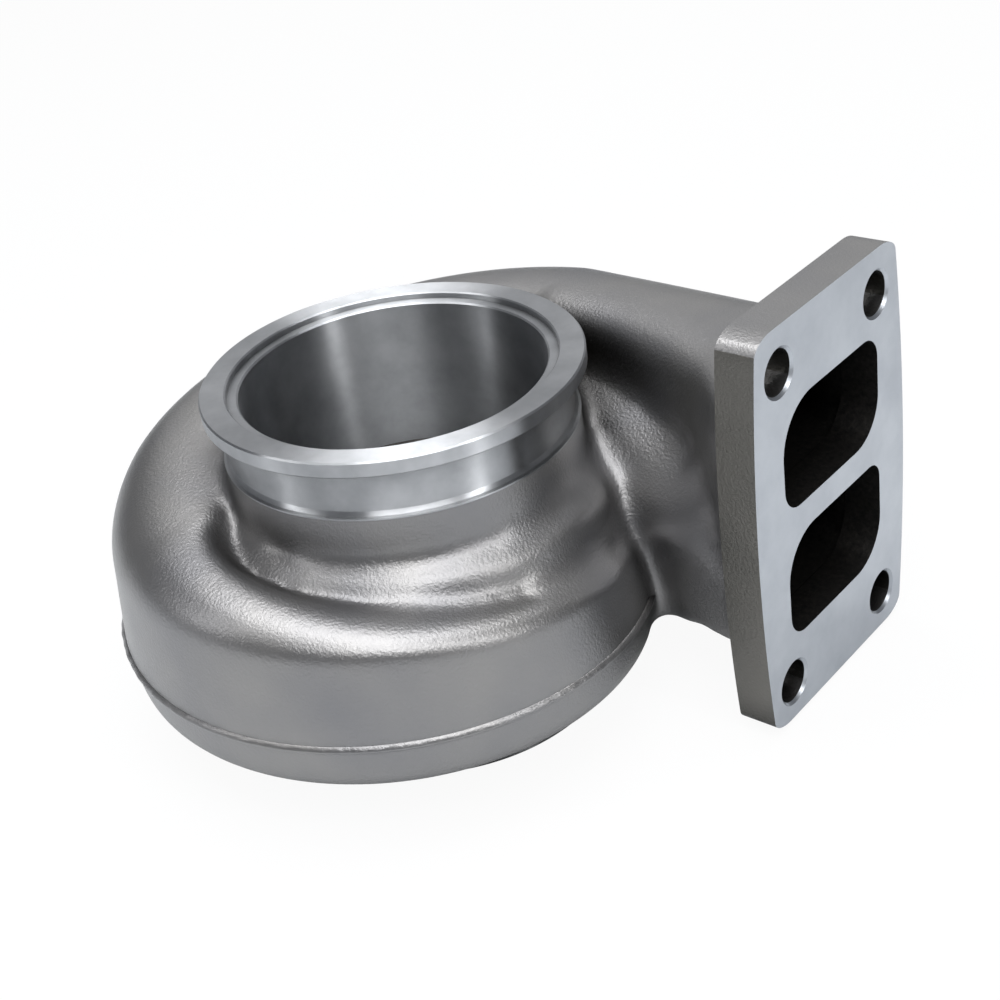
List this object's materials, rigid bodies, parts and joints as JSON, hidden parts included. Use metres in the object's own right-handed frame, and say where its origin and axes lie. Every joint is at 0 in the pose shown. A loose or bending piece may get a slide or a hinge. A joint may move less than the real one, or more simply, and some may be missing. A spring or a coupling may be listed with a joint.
{
  "type": "turbocharger turbine housing",
  "caption": "Cast iron divided-inlet turbine housing with a spiral volute, a rectangular bolted inlet flange and a round outlet neck with a clamp rim.",
  "frame": {"origin": "centre of the turbine axis in the end face of the ring that meets the centre housing", "axes": "+Z along the turbine axis out of the gas outlet, +X out of the gas inlet flange, +Y to the side on which the inlet duct joins the scroll"},
  "size_m": [0.1831, 0.1771, 0.1087],
  "materials": {
    "cast": "satin"
  },
  "bodies": {
    "root": {"turbine_housing": "cast"}
  },
  "joints": []
}
